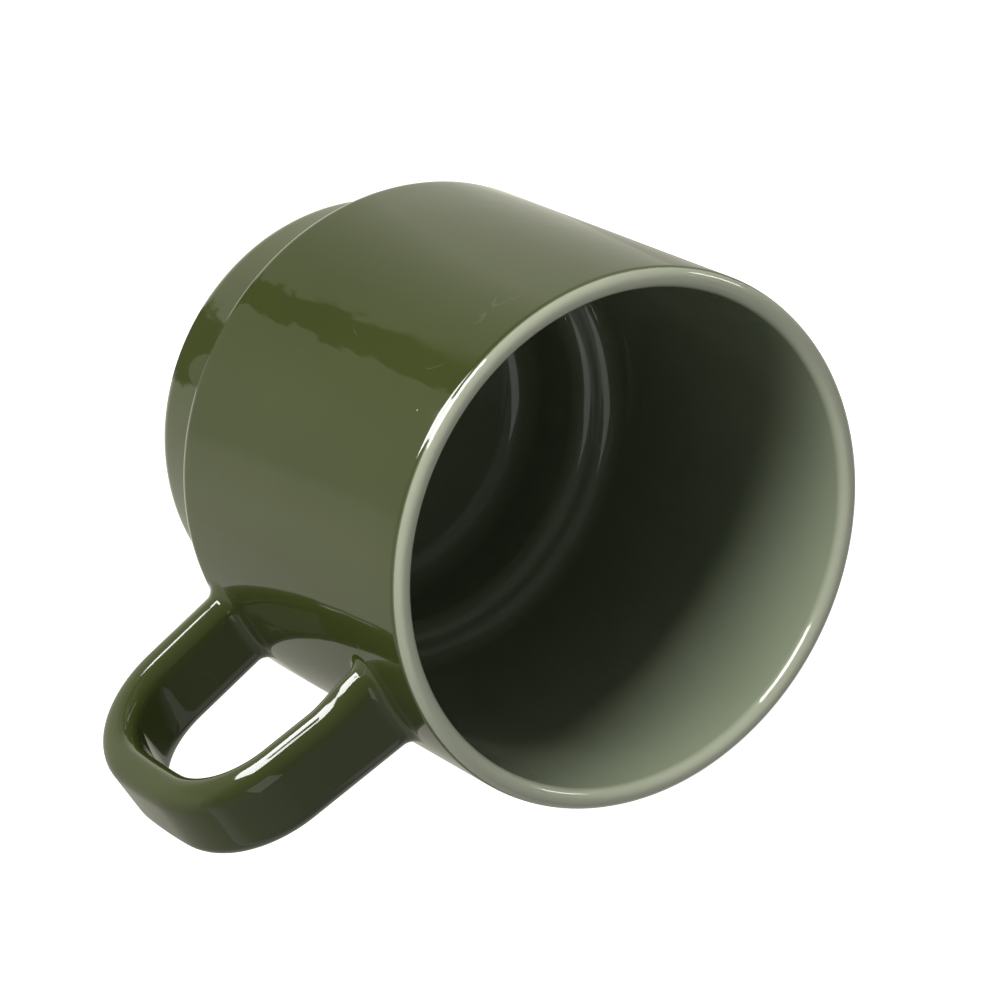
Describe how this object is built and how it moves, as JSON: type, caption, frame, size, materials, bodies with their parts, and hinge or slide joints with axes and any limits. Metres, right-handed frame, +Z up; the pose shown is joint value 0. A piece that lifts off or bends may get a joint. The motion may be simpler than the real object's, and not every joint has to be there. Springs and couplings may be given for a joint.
{
  "type": "ceramic mug",
  "caption": "Stacking mug with a straight wall, a stepped foot that nests in another mug's mouth, a rounded lip and a D-shaped band handle.",
  "frame": {"origin": "middle of the foot ring, on the face that rests on the table", "axes": "+Z up along the mug's axis and out of the mouth, +X towards the handle, +Y to the left of the handle seen from above"},
  "size_m": [0.1172, 0.084, 0.0828],
  "materials": {
    "clay": "bare fired stoneware, matt and slightly sandy",
    "slip": "fired slip, matt",
    "sage_glaze": "gloss glaze, sage green",
    "olive_glaze": "gloss glaze, dark olive green"
  },
  "bodies": {
    "root": {"clay_body": "clay", "clay_handle": "clay", "upper_slip_joint": "slip", "lower_slip_joint": "slip", "inner_glaze": "sage_glaze", "outer_glaze": "olive_glaze", "handle_glaze": "olive_glaze", "base_glaze": "olive_glaze"}
  },
  "joints": []
}
